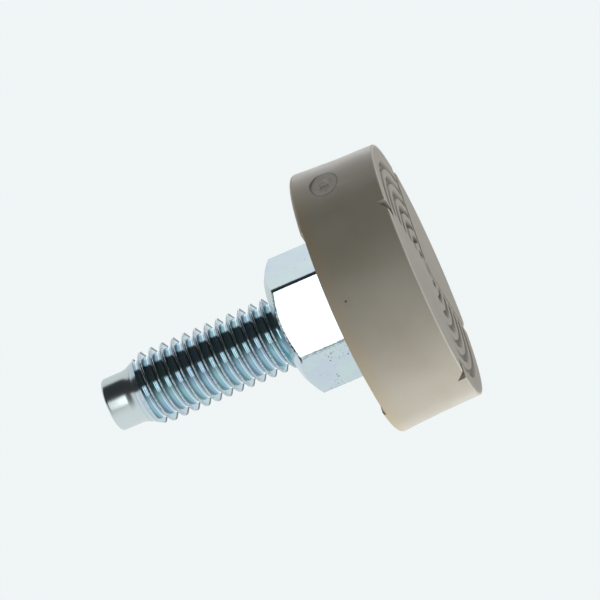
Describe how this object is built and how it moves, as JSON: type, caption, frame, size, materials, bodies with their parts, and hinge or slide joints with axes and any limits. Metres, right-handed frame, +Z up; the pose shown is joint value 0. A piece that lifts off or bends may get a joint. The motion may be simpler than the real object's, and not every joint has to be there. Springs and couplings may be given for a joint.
{
  "type": "adjustable levelling foot",
  "caption": "Screw-in furniture levelling foot: threaded steel stud with a dog point and an integral spanner hexagon, set in a round plastic base with a ribbed sole.",
  "frame": {"origin": "centre of the sole, on the plane that the foot stands on", "axes": "+Z up along the stud, from the sole to the dog point; +Y inside a plain quarter of the sole, 4.2 degrees from the normal of a hexagon flat, +X to the left when the standing foot is looked at from the +Y side"},
  "size_m": [0.0282, 0.0282, 0.0355],
  "materials": {
    "zinc_steel": "bright zinc plating with light handling marks",
    "grey_plastic": "satin warm-grey moulded plastic"
  },
  "bodies": {
    "root": {"stud": "zinc_steel", "base": "grey_plastic"}
  },
  "joints": []
}
